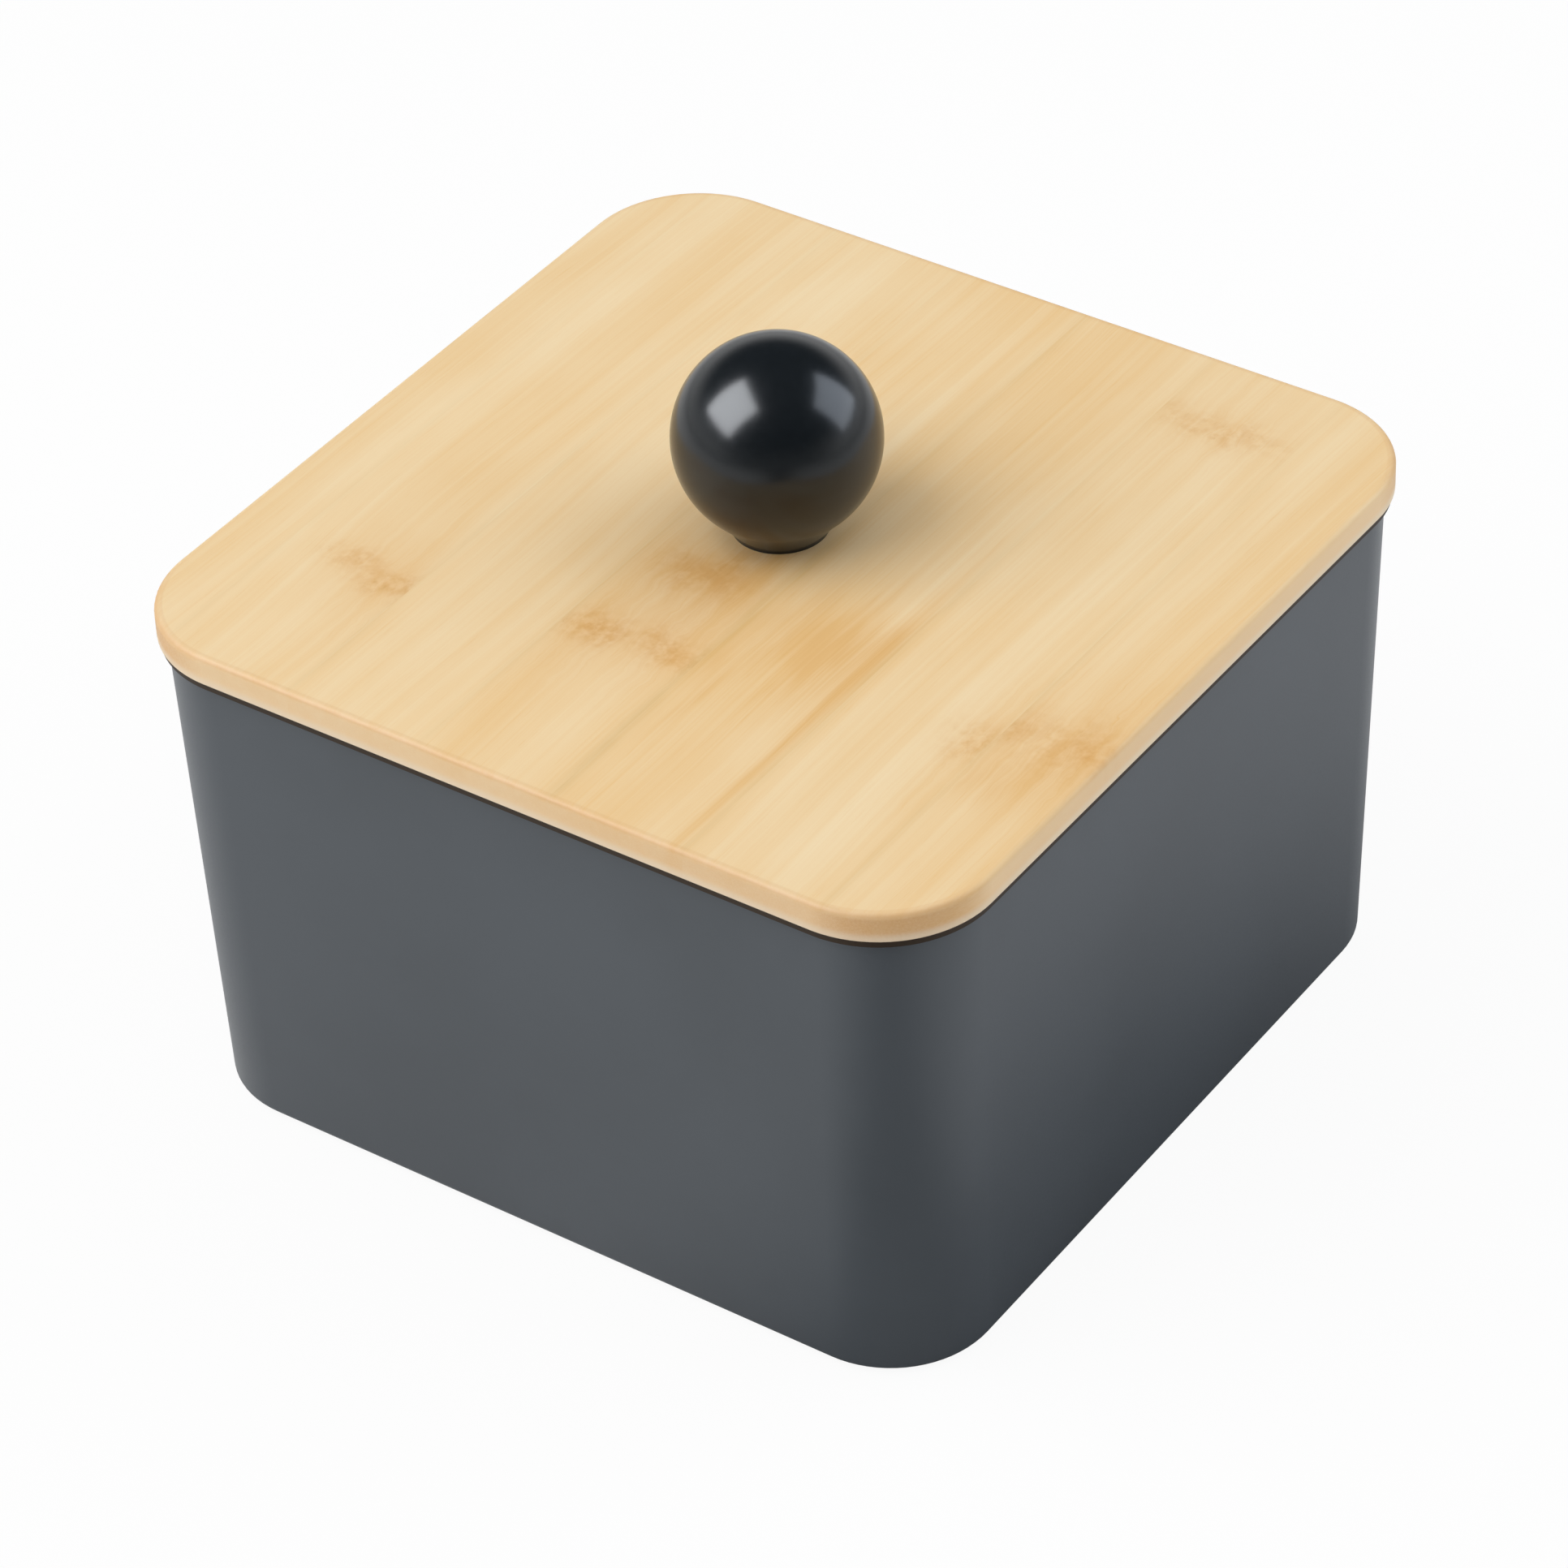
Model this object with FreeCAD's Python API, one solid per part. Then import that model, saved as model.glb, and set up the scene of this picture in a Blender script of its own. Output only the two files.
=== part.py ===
import FreeCAD, Part
import math
import os

# Square moulded box with a lift-off bamboo lid and a ball knob.
# Millimetres. +Z is up, the origin lies on the table under the middle of the box,
# the front wall faces -Y and the strips of the lid run along Y.

# Lid board, square in plan
lid_width = 145.0
lid_corner_radius = 18.5
lid_edge_thickness = 6.0
lid_round_over = 1.0
lid_step_height = 1.3
lid_step_inset = 0.4
lid_plug_depth = 6.0
plug_lead_in = 0.8
left_edge_strip = 11.1
right_edge_strip = 16.4
middle_strips = 5

# Moulded box
lid_overhang = 1.5
body_height = 84.5
wall = 2.5
draft_inset = 1.8
floor_plate = 2.5
floor_fillet = 4.0
base_edge_radius = 1.2
rim_bevel = 0.5
base_recess = 1.0
foot_ring_width = 5.0
recess_bevel = 0.5
gate_diameter = 8.0
gate_depth = 0.4

# Anti-slip pads
pad_diameter = 10.0
pad_proud = 0.6
pad_socket_depth = 0.5
pad_bevel = 0.4

# Seal of the plug
groove_height = 3.0
groove_depth = 2.0
lip_root = 0.8
lip_tip = 0.4
lip_rise = 0.4

# Ball knob and its fastening
ball_diameter = 32.0
ball_air = 0.2
flank_angle = 45.0
foot_diameter = 15.0
foot_land = 0.4
bush_diameter = 7.0
bush_length = 10.0
bush_flange_diameter = 9.0
bush_flange_thickness = 1.0
bush_waist_depth = 0.5
bush_waist_length = 3.0
screw_diameter = 4.0
screw_length = 16.0
screw_end_chamfer = 0.5
head_diameter = 8.0
head_height = 3.1
head_rim_height = 1.4
recess_span = 4.4
recess_slot = 1.0
recess_depth = 1.8
washer_diameter = 9.0
washer_thickness = 0.8
counterbore_depth = 6.7

# Clearances
plug_clearance = 1.0
seal_air = 0.3
seal_seat_gap = 0.05
pad_socket_gap = 0.15
bush_gap = 0.05
thread_gap = 0.05
screw_hole_gap = 0.25
washer_hole_gap = 0.15
counterbore_gap = 1.0
screw_end_room = 1.5

# Heights
base_z = pad_proud
rim_z = base_z + body_height
lid_top_z = rim_z + lid_edge_thickness
plug_bottom_z = rim_z - lid_plug_depth
recess_z = base_z + base_recess
floor_top_z = recess_z + floor_plate
socket_top_z = recess_z + pad_socket_depth
counterbore_top_z = plug_bottom_z + counterbore_depth
ball_centre_z = lid_top_z + ball_air + ball_diameter / 2

# Plan sizes, as half widths and corner radii
lid_half = lid_width / 2
rim_half = lid_half - lid_overhang
base_half = rim_half - draft_inset
body_corner_radius = lid_corner_radius - lid_overhang
cavity_corner_radius = body_corner_radius - wall
plug_corner_radius = cavity_corner_radius - plug_clearance
pad_reach = base_half - body_corner_radius

UP = FreeCAD.Vector(0, 0, 1)
CORNER_SIGNS = ((1, 1), (-1, 1), (-1, -1), (1, -1))
QUARTER_TURN = 90
FULL_TURN = 360
LEVEL_SLACK = 1e-4


def outer_half(z):
    """Half width of the box outside at height z: the walls lean in evenly to the base."""
    return base_half + draft_inset * (z - base_z) / body_height


def cavity_half(z):
    """Half width of the box inside at height z."""
    return outer_half(z) - wall


def rounded_square(half, radius, z):
    """Closed wire of a square with round corners at height z."""
    reach = half - radius
    arcs = []
    for quarter, (sign_x, sign_y) in enumerate(CORNER_SIGNS):
        centre = FreeCAD.Vector(sign_x * reach, sign_y * reach, z)
        start = quarter * QUARTER_TURN
        ends = []
        for angle in (start, start + QUARTER_TURN / 2, start + QUARTER_TURN):
            turn = math.radians(angle)
            spoke = FreeCAD.Vector(math.cos(turn), math.sin(turn), 0) * radius
            ends.append(centre + spoke)
        arcs.append(ends)
    edges = []
    for index, ends in enumerate(arcs):
        following = arcs[(index + 1) % len(arcs)]
        edges.append(Part.Arc(*ends).toShape())
        edges.append(Part.LineSegment(ends[-1], following[0]).toShape())
    return Part.Wire(edges)


def prism(half, radius, low, high):
    """Upright square block with round corners."""
    face = Part.Face(rounded_square(half, radius, low))
    return face.extrude(UP * (high - low))


def leaning_block(low, low_half, high, high_half, radius):
    """Square block with round corners whose flat walls lean between two heights."""
    block = Part.makeWedge(
        -low_half, low, -low_half, -high_half, -high_half,
        low_half, high, low_half, high_half, high_half,
    )
    block.rotate(FreeCAD.Vector(), FreeCAD.Vector(1, 0, 0), QUARTER_TURN)
    corners = [edge for edge in block.Edges if edge.BoundBox.ZLength > (high - low) / 2]
    return block.makeFillet(radius, corners)


def edges_at(shape, z):
    """Edges that lie flat at height z."""
    level = []
    for edge in shape.Edges:
        box = edge.BoundBox
        if max(abs(box.ZMin - z), abs(box.ZMax - z)) < LEVEL_SLACK:
            level.append(edge)
    return level


def turned(points):
    """Solid of revolution about Z from a closed outline of (radius, height) points."""
    corners = [FreeCAD.Vector(radius, 0, z) for radius, z in points]
    face = Part.Face(Part.makePolygon(corners + corners[:1]))
    return face.revolve(FreeCAD.Vector(), UP, FULL_TURN)


def ring_round_square(outline, half, radius):
    """Solid ring along a rounded square, from an outline of (outward, height) points.

    Outward is measured from the square's edge: straight bars on the four sides
    and quarter turns about the corner axes between them.
    """
    reach = half - radius
    parts = []
    for quarter in range(len(CORNER_SIGNS)):
        corners = [FreeCAD.Vector(half + outward, reach, z) for outward, z in outline]
        face = Part.Face(Part.makePolygon(corners + corners[:1]))
        axis_point = FreeCAD.Vector(reach, reach, 0)
        bend = face.revolve(axis_point, UP, QUARTER_TURN)
        bar = face.extrude(FreeCAD.Vector(0, -2 * reach, 0))
        for piece in (bend, bar):
            piece.rotate(FreeCAD.Vector(), UP, quarter * QUARTER_TURN)
            parts.append(piece)
    return parts[0].fuse(parts[1:]).removeSplitter()


def box_body():
    """The moulded box: leaning walls, round corners, recessed base and bevelled rim."""
    shell = leaning_block(base_z, base_half, rim_z, rim_half, body_corner_radius)
    shell = shell.makeFillet(base_edge_radius, edges_at(shell, base_z))
    cavity = leaning_block(
        floor_top_z, cavity_half(floor_top_z), rim_z, cavity_half(rim_z), cavity_corner_radius
    )
    cavity = cavity.makeFillet(floor_fillet, edges_at(cavity, floor_top_z))
    shell = shell.cut(cavity)
    shell = shell.makeChamfer(rim_bevel, edges_at(shell, rim_z))
    recess = prism(base_half - foot_ring_width, body_corner_radius - foot_ring_width, base_z, recess_z)
    recess = recess.makeChamfer(recess_bevel, edges_at(recess, recess_z))
    shell = shell.cut(recess)
    for sign_x, sign_y in CORNER_SIGNS:
        place = FreeCAD.Vector(sign_x * pad_reach, sign_y * pad_reach, base_z)
        socket_radius = pad_diameter / 2 + pad_socket_gap
        shell = shell.cut(Part.makeCylinder(socket_radius, socket_top_z - base_z, place))
    gate = Part.makeCylinder(gate_diameter / 2, base_recess + gate_depth, FreeCAD.Vector(0, 0, base_z))
    return shell.cut(gate)


def foot_pad(sign_x, sign_y):
    """One anti-slip pad, glued into its socket and proud of the foot ring."""
    pad = Part.makeCylinder(pad_diameter / 2, socket_top_z)
    pad = pad.makeChamfer(pad_bevel, edges_at(pad, 0))
    pad.translate(FreeCAD.Vector(sign_x * pad_reach, sign_y * pad_reach, 0))
    return pad


def lid_board():
    """The whole board: overhanging edge, stepped in underneath, plug, seal groove and screw hole."""
    step_z = rim_z + lid_step_height
    board = prism(lid_half, lid_corner_radius, step_z, lid_top_z)
    board = board.makeFillet(lid_round_over, edges_at(board, lid_top_z))
    step = prism(lid_half - lid_step_inset, lid_corner_radius - lid_step_inset, rim_z, step_z)
    plug = prism(plug_half, plug_corner_radius, plug_bottom_z, rim_z)
    plug = plug.makeChamfer(plug_lead_in, edges_at(plug, plug_bottom_z))
    board = board.fuse([step, plug]).removeSplitter()
    margin = plug_clearance / 2
    groove = [
        (-groove_depth, groove_low_z),
        (margin, groove_low_z),
        (margin, groove_high_z),
        (-groove_depth, groove_high_z),
    ]
    board = board.cut(ring_round_square(groove, plug_half, plug_corner_radius))
    hole = Part.makeCylinder(
        screw_diameter / 2 + screw_hole_gap, lid_top_z - plug_bottom_z, FreeCAD.Vector(0, 0, plug_bottom_z)
    )
    seat_radius = (washer_diameter + counterbore_gap) / 2
    seat = Part.makeCylinder(seat_radius, counterbore_depth, FreeCAD.Vector(0, 0, plug_bottom_z))
    return board.cut(hole.fuse(seat))


def lid_strips():
    """The board divided along its glue lines into strips that run along Y."""
    board = lid_board()
    glued_width = (lid_width - left_edge_strip - right_edge_strip) / middle_strips
    first_line = left_edge_strip - lid_half
    lines = [first_line + glued_width * index for index in range(middle_strips + 1)]
    borders = [-lid_half] + lines + [lid_half]
    strips = []
    for left, right in zip(borders, borders[1:]):
        corner = FreeCAD.Vector(left, -lid_half, plug_bottom_z)
        slab = Part.makeBox(right - left, lid_width, lid_top_z - plug_bottom_z, corner)
        strips.append(board.common(slab))
    return strips


def lid_seal():
    """The silicone ring: a bar in the groove and two lips that reach for the wall."""
    low = groove_low_z + seal_seat_gap
    high = groove_high_z - seal_seat_gap
    back = -groove_depth + seal_seat_gap
    reach = cavity_half(groove_low_z) - seal_air - plug_half
    outline = [(back, low)]
    for foot in (low, high - lip_root):
        outline += [
            (0, foot),
            (reach, foot + lip_rise),
            (reach, foot + lip_rise + lip_tip),
            (0, foot + lip_root),
        ]
    outline.append((back, high))
    return ring_round_square(outline, plug_half, plug_corner_radius)


def bush_outline(gap):
    """Half outline of the bush from its axis, swollen by a gap: flange, barrel and waist."""
    flange = bush_flange_diameter / 2 + gap
    barrel = bush_diameter / 2 + gap
    waist = barrel - bush_waist_depth
    waist_low = lid_top_z + (bush_length - bush_waist_length) / 2 + gap
    waist_high = waist_low + bush_waist_length - 2 * gap
    top = lid_top_z + bush_length + gap
    flange_top = lid_top_z + bush_flange_thickness + gap
    return [
        (0, lid_top_z),
        (flange, lid_top_z),
        (flange, flange_top),
        (barrel, flange_top),
        (barrel, waist_low),
        (waist, waist_low),
        (waist, waist_high),
        (barrel, waist_high),
        (barrel, top),
        (0, top),
    ]


def ball_outline():
    """Half outline of the ball: the round, a flank that leaves it smoothly, the land and the foot.

    The flank begins at the flank angle, counted at the ball's middle from straight down.
    """
    radius = ball_diameter / 2
    centre = FreeCAD.Vector(0, 0, ball_centre_z)
    leave_turn = math.radians(flank_angle)
    outward = FreeCAD.Vector(math.sin(leave_turn), 0, -math.cos(leave_turn))
    inward_and_down = FreeCAD.Vector(-math.cos(leave_turn), 0, -math.sin(leave_turn))
    top = centre + UP * radius
    side = centre + FreeCAD.Vector(radius, 0, 0)
    leave = centre + outward * radius
    land = FreeCAD.Vector(foot_diameter / 2, 0, lid_top_z + foot_land)
    bend = leave + inward_and_down * ((land - leave).Length / 2)
    flank = Part.BezierCurve()
    flank.setPoles([leave, bend, land])
    foot = land - UP * foot_land
    middle = FreeCAD.Vector(0, 0, lid_top_z)
    return Part.Wire([
        Part.Arc(top, side, leave).toShape(),
        flank.toShape(),
        Part.LineSegment(land, foot).toShape(),
        Part.LineSegment(foot, middle).toShape(),
        Part.LineSegment(middle, top).toShape(),
    ])


def ball_knob():
    """The ball on its short foot, with the room for the bush and the end of the screw."""
    knob = Part.Face(ball_outline()).revolve(FreeCAD.Vector(), UP, FULL_TURN)
    knob = knob.cut(turned(bush_outline(bush_gap)))
    end_z = counterbore_top_z - washer_thickness + screw_length + screw_end_room
    end_radius = screw_diameter / 2 + screw_hole_gap
    room = Part.makeCylinder(end_radius, end_z - lid_top_z, FreeCAD.Vector(0, 0, lid_top_z))
    return knob.cut(room)


def knob_bush():
    """The brass bush, with its flange flush with the foot of the ball."""
    bore_radius = screw_diameter / 2 + thread_gap
    bore = Part.makeCylinder(bore_radius, bush_length, FreeCAD.Vector(0, 0, lid_top_z))
    return turned(bush_outline(0)).cut(bore)


def knob_washer():
    """The flat washer between the screw's head and the lid."""
    place = FreeCAD.Vector(0, 0, counterbore_top_z - washer_thickness)
    disc = Part.makeCylinder(washer_diameter / 2, washer_thickness, place)
    hole_radius = screw_diameter / 2 + washer_hole_gap
    return disc.cut(Part.makeCylinder(hole_radius, washer_thickness, place))


def knob_screw():
    """The pan head screw with a cross recess, driven upwards from under the lid."""
    seat_z = counterbore_top_z - washer_thickness
    shank = Part.makeCylinder(screw_diameter / 2, screw_length, FreeCAD.Vector(0, 0, seat_z))
    shank = shank.makeChamfer(screw_end_chamfer, edges_at(shank, seat_z + screw_length))
    head_radius = head_diameter / 2
    crown_height = head_height - head_rim_height
    sphere_radius = (head_radius**2 + crown_height**2) / (2 * crown_height)
    rim = Part.makeCylinder(head_radius, head_height, FreeCAD.Vector(0, 0, seat_z - head_height))
    crown = Part.makeSphere(sphere_radius, FreeCAD.Vector(0, 0, seat_z - head_height + sphere_radius))
    head = rim.common(crown)
    screw = shank.fuse(head).removeSplitter()
    for size_x, size_y in ((recess_span, recess_slot), (recess_slot, recess_span)):
        corner = FreeCAD.Vector(-size_x / 2, -size_y / 2, seat_z - head_height)
        screw = screw.cut(Part.makeBox(size_x, size_y, recess_depth, corner))
    return screw


plug_half = cavity_half(plug_bottom_z) - plug_clearance
groove_low_z = rim_z - (lid_plug_depth + groove_height) / 2
groove_high_z = groove_low_z + groove_height

os.makedirs("parts", exist_ok=True)

nodes = {"box_body": box_body()}
for number, signs in enumerate(CORNER_SIGNS, start=1):
    nodes[f"foot_pad_{number}"] = foot_pad(*signs)
for number, strip in enumerate(lid_strips(), start=1):
    nodes[f"lid_strip_{number}"] = strip
nodes["lid_seal"] = lid_seal()
nodes["ball_knob"] = ball_knob()
nodes["knob_bush"] = knob_bush()
nodes["knob_screw"] = knob_screw()
nodes["knob_washer"] = knob_washer()

for name, shape in nodes.items():
    shape.exportStep(f"parts/{name}.step")
    box = shape.BoundBox
    print(f"{name}: {len(shape.Solids)} solid, valid {shape.isValid()}, volume {shape.Volume:.1f},"
          f" z {box.ZMin:.2f} to {box.ZMax:.2f}, x {box.XMin:.2f} to {box.XMax:.2f}")
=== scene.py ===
"""Small moulded box with a lift-off bamboo lid and a ball knob, dressed for a plain studio.

Metres throughout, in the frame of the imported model: +Z is up, the origin lies on the
table under the middle of the box, the front wall faces -Y and the strips of the lid
run along Y. Lengths that are easier to read in millimetres are written as n * MM.
"""

import logging
import math
from dataclasses import dataclass, field
from enum import Enum
from typing import Any, Optional, Sequence, Union

import bmesh
import bpy
import numpy as np
from bpy.types import ID, Material, Mesh, NodeSocket, Object, World
from mathutils import Matrix, Vector


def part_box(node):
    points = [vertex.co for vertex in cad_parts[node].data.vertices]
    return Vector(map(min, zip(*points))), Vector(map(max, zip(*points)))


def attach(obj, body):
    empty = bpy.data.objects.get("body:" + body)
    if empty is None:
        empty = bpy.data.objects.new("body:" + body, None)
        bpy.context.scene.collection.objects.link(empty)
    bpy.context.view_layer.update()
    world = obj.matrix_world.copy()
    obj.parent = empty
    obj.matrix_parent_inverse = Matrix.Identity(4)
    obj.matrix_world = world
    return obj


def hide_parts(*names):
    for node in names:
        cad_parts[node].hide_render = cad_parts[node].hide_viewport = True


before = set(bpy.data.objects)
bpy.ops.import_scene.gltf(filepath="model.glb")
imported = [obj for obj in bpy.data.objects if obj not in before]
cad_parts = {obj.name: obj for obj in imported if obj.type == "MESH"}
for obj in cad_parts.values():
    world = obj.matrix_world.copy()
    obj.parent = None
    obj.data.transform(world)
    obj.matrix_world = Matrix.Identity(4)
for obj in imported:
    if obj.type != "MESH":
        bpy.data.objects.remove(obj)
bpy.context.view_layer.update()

log = logging.getLogger("organizer_box")

MM = 0.001
PER_MM = 1000.0
FULL_TURN = 2.0 * math.pi
SHARP = math.radians(40)
SHARP_METAL = math.radians(30)
ROUND_STEPS = 64

Colour = tuple[float, float, float]

BLACK: Colour = (0.0, 0.0, 0.0)
WHITE: Colour = (1.0, 1.0, 1.0)


def from_srgb(code: str) -> Colour:
    """Linear colour of an sRGB code.

    Args:
        code: Six hexadecimal digits, such as "56595d".

    Returns:
        Red, green and blue from 0 to 1.
    """
    channels = np.array([int(code[place:place + 2], 16) for place in (0, 2, 4)]) / 255.0
    low, high = channels / 12.92, ((channels + 0.055) / 1.055) ** 2.4
    return tuple(float(value) for value in np.where(channels <= 0.04045, low, high))


def shaded(colour: Colour, factor: float) -> Colour:
    """A colour made lighter or darker by a factor."""
    return tuple(min(1.0, value * factor) for value in colour)


class Wire:
    """A shader socket that takes part in plain arithmetic.

    Each operator adds a Math node to the tree of the sheet that made the wire.
    """

    def __init__(self, sheet: "Sheet", socket: NodeSocket) -> None:
        """Wraps one output socket of a sheet."""
        self.sheet = sheet
        self.socket = socket

    def _math(self, operation: str, *others: Any,
              swapped: bool = False, clamp: bool = False) -> "Wire":
        """Adds one Math node.

        Args:
            operation: Blender's name of the operation.
            others: The remaining operands, wires or numbers.
            swapped: True puts this wire after the first of the others.
            clamp: True keeps the result between 0 and 1.

        Returns:
            The wire of the node's result.
        """
        operands = [self, *others]
        if swapped:
            operands[0], operands[1] = operands[1], operands[0]
        settings = {"operation": operation, "use_clamp": clamp}
        return self.sheet.node("ShaderNodeMath", settings, dict(enumerate(operands)))

    def __add__(self, other: Any) -> "Wire":
        """Sum."""
        return self._math("ADD", other)

    __radd__ = __add__

    def __sub__(self, other: Any) -> "Wire":
        """Difference."""
        return self._math("SUBTRACT", other)

    def __rsub__(self, other: Any) -> "Wire":
        """Difference from a number."""
        return self._math("SUBTRACT", other, swapped=True)

    def __mul__(self, other: Any) -> "Wire":
        """Product."""
        return self._math("MULTIPLY", other)

    __rmul__ = __mul__

    def __truediv__(self, other: Any) -> "Wire":
        """Quotient."""
        return self._math("DIVIDE", other)

    def __neg__(self) -> "Wire":
        """Negative."""
        return self._math("MULTIPLY", -1.0)

    def __pow__(self, other: Any) -> "Wire":
        """Power."""
        return self._math("POWER", other)

    def __abs__(self) -> "Wire":
        """Size without sign."""
        return self._math("ABSOLUTE")

    def clamped(self) -> "Wire":
        """The value kept between 0 and 1."""
        return self._math("ADD", 0.0, clamp=True)

    def at_least(self, floor: float) -> "Wire":
        """The value, or the floor where that is more."""
        return self._math("MAXIMUM", floor)

    def sine(self) -> "Wire":
        """Sine of an angle in radians."""
        return self._math("SINE")

    def swing(self, amount: float) -> "Wire":
        """A noise about 0 in place of a half, times an amount."""
        return (self - 0.5) * amount

    def bell(self, width: Any) -> "Wire":
        """A smooth hump: 1 where the value is 0, falling to about a third at the width."""
        share = self / width
        return (-(share * share))._math("EXPONENT")

    def between(self, low: float, high: float) -> "Wire":
        """Smooth step from 0 at the low value to 1 at the high one."""
        inputs = {"Value": self, "From Min": low, "From Max": high}
        return self.sheet.node("ShaderNodeMapRange", {"interpolation_type": "SMOOTHSTEP"}, inputs)

    def other(self, output: Union[int, str]) -> "Wire":
        """Another output of the node that made this wire."""
        return Wire(self.sheet, self.socket.node.outputs[output])


class Sheet:
    """The node tree of a material or of the world, with short ways to add nodes to it."""

    def __init__(self, owner: Union[Material, World]) -> None:
        """Starts with an empty tree.

        Args:
            owner: The material or world that the nodes are for.
        """
        owner.use_nodes = True
        self.owner = owner
        self.tree = owner.node_tree
        self.tree.nodes.clear()

    @classmethod
    def of_finish(cls, name: str) -> "Sheet":
        """A sheet for a new material."""
        return cls(bpy.data.materials.new(name))

    def node(self, kind: str, settings: Optional[dict] = None, inputs: Optional[dict] = None,
             output: Union[int, str] = 0) -> Optional[Wire]:
        """Adds one node.

        Args:
            kind: Blender's type name of the node.
            settings: The node's own options, set before its sockets.
            inputs: Socket name or number to a wire, a number or a tuple.
            output: Name or number of the output that is wanted.

        Returns:
            The wire of that output, or None from a node without outputs.
        """
        made = self.tree.nodes.new(kind)
        for key, value in (settings or {}).items():
            setattr(made, key, value)
        for key, value in (inputs or {}).items():
            socket = made.inputs[key]
            if isinstance(value, Wire):
                self.tree.links.new(value.socket, socket)
            elif isinstance(value, tuple) and socket.type == "RGBA":
                socket.default_value = (*value, 1.0)
            else:
                socket.default_value = value
        return Wire(self, made.outputs[output]) if made.outputs else None

    def place(self) -> Wire:
        """The point on the piece, in metres."""
        return self.node("ShaderNodeTexCoord", output="Object")

    def split(self, vector: Wire) -> tuple[Wire, Wire, Wire]:
        """The three parts of a vector."""
        first = self.node("ShaderNodeSeparateXYZ", inputs={0: vector})
        return first, first.other(1), first.other(2)

    def noise(self, vector: Wire, scale: float, detail: float = 2.0,
              roughness: float = 0.5) -> Wire:
        """Soft noise between 0 and 1 at a point."""
        inputs = {"Vector": vector, "Scale": scale, "Detail": detail, "Roughness": roughness}
        return self.node("ShaderNodeTexNoise", {"noise_dimensions": "3D"}, inputs, "Fac")

    def blend(self, factor: Any, first: Any, second: Any) -> Wire:
        """Colour between two colours, which a Mix node takes at its sockets 6 and 7."""
        inputs = {0: factor, 6: first, 7: second}
        return self.node("ShaderNodeMix", {"data_type": "RGBA"}, inputs, 2)

    def bump(self, height: Wire, depth: float, strength: float = 1.0) -> Wire:
        """Normal of a relief: a height from 0 to 1 over a depth in metres."""
        inputs = {"Height": height, "Distance": depth, "Strength": strength}
        return self.node("ShaderNodeBump", inputs=inputs)

    def surface(self, inputs: dict) -> Material:
        """Ends the tree in a Principled shader.

        Args:
            inputs: The shader's sockets by name.

        Returns:
            The material.
        """
        shader = self.node("ShaderNodeBsdfPrincipled", inputs=inputs)
        self.node("ShaderNodeOutputMaterial", inputs={"Surface": shader})
        return self.owner


@dataclass(frozen=True)
class Skin:
    """Plastic or rubber. The defaults are those of a matt rubber with a powdery skin.

    The cloud and the grain are noises with that many steps a metre. The cloud mixes two
    shades of the colour, sharpened by the contrast where there is one, the grain is the
    relief, and both may vary the roughness. Milk is the light that goes through.
    """

    name: str
    slot: str
    colour: Colour
    roughness: float
    shades: tuple[float, float] = (1.0, 1.12)
    contrast: Optional[tuple[float, float]] = None
    cloud: float = 160.0
    cloud_detail: float = 3.0
    cloud_rough: float = 0.0
    grain: float = 2600.0
    grain_detail: float = 2.0
    grain_fine: float = 0.5
    grain_rough: float = 0.15
    grain_depth: float = 0.008 * MM
    specular: float = 0.5
    milk: float = 0.0
    milk_depth: float = 2.0 * MM

    def make(self) -> Material:
        """Builds the material.

        Returns:
            The material.
        """
        sheet = Sheet.of_finish(self.name)
        place = sheet.place()
        cloud = sheet.noise(place, self.cloud, self.cloud_detail)
        grain = sheet.noise(place, self.grain, self.grain_detail, self.grain_fine)
        mix = cloud.between(*self.contrast) if self.contrast else cloud
        first, second = (shaded(self.colour, shade) for shade in self.shades)
        varied = grain.swing(self.grain_rough) + cloud.swing(self.cloud_rough)
        return sheet.surface({
            "Base Color": sheet.blend(mix, first, second),
            "Roughness": self.roughness + varied,
            "Normal": sheet.bump(grain, self.grain_depth),
            "Specular IOR Level": self.specular,
            "Subsurface Weight": self.milk,
            "Subsurface Scale": self.milk_depth,
        })


@dataclass(frozen=True)
class TurnedMetal:
    """Metal with the fine rings that a lathe leaves about the Z axis.

    The pitches are the rings' radians for each millimetre of radius and of height.
    """

    name: str
    slot: str
    colour: Colour
    roughness: float
    stain: Colour
    stain_grain: float = 420.0
    stain_range: tuple[float, float] = (0.5, 0.8)
    stain_rough: float = 0.1
    stain_share: float = 0.5
    pitches: tuple[float, float] = (21.0, 17.0)
    ring_rough: float = 0.06
    ring_depth: float = 0.01 * MM
    ring_strength: float = 0.5

    def make(self) -> Material:
        """Builds the material: rings from the distance to the axis and the height, and stains.

        Returns:
            The material.
        """
        sheet = Sheet.of_finish(self.name)
        place = sheet.place()
        x, y, z = (part * PER_MM for part in sheet.split(place))
        radius = (x * x + y * y) ** 0.5
        rings = (radius * self.pitches[0] + z * self.pitches[1]).sine() * 0.5 + 0.5
        stain = sheet.noise(place, self.stain_grain, 3.0).between(*self.stain_range)
        return sheet.surface({
            "Base Color": sheet.blend(stain * self.stain_share, self.colour, self.stain),
            "Metallic": 1.0,
            "Roughness": self.roughness + rings * self.ring_rough + stain * self.stain_rough,
            "Normal": sheet.bump(rings, self.ring_depth, self.ring_strength),
        })


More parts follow.
